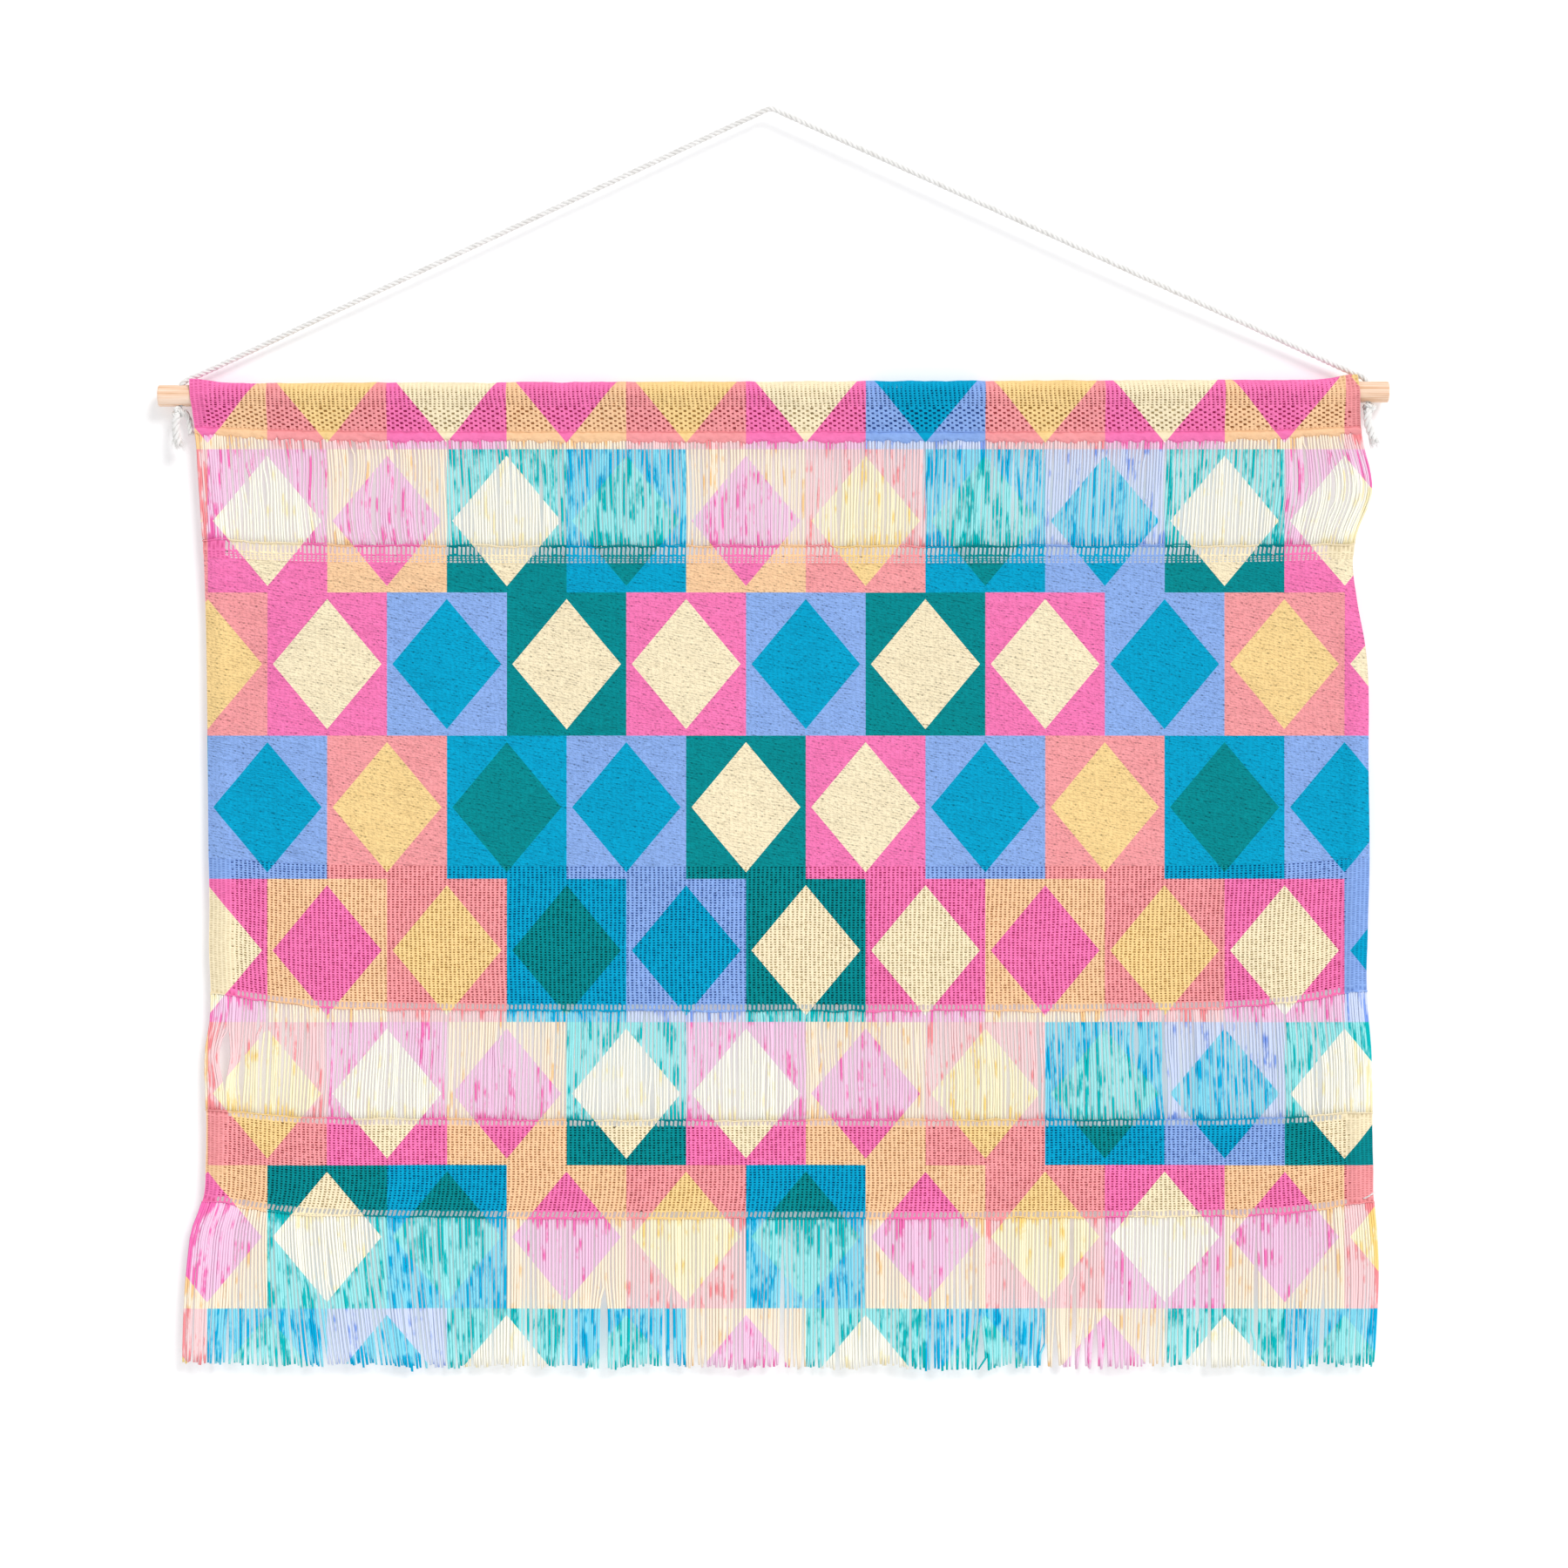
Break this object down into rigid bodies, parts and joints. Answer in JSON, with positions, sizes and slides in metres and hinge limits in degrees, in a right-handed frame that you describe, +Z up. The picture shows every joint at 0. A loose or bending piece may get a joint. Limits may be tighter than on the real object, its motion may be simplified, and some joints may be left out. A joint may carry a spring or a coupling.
{
  "type": "textile wall hanging on a wooden dowel",
  "caption": "Woven cotton wall hanging with a rod pocket on a wooden dowel, bands of open mesh and loose warp strings, a cut fringe and a tied hanging cord.",
  "frame": {"origin": "the point where the hanging cord rests on a nail or hook, under the bend at its middle", "axes": "+Z up, +X along the dowel to the viewer's right, -Y towards the viewer, +Y towards the wall"},
  "size_m": [1.0925, 0.0226, 1.1246],
  "materials": {
    "wood": "pale sanded wood, unvarnished",
    "printed_cloth": "matte printed cotton weave in turquoise, teal, pink, periwinkle, coral, peach and cream",
    "printed_strings": "matte cotton yarn, the print pale and streaky",
    "rope": "matte white twisted cotton rope"
  },
  "bodies": {
    "root": {"dowel": "wood", "header_sleeve": "printed_cloth", "upper_strings": "printed_strings", "main_panel": "printed_cloth", "lower_strings": "printed_strings", "lower_panel": "printed_cloth", "bottom_fringe": "printed_strings", "hanging_cord": "rope", "knot_left": "rope", "knot_right": "rope", "tail_left": "rope", "tail_left_short": "rope", "tail_right": "rope"}
  },
  "joints": []
}
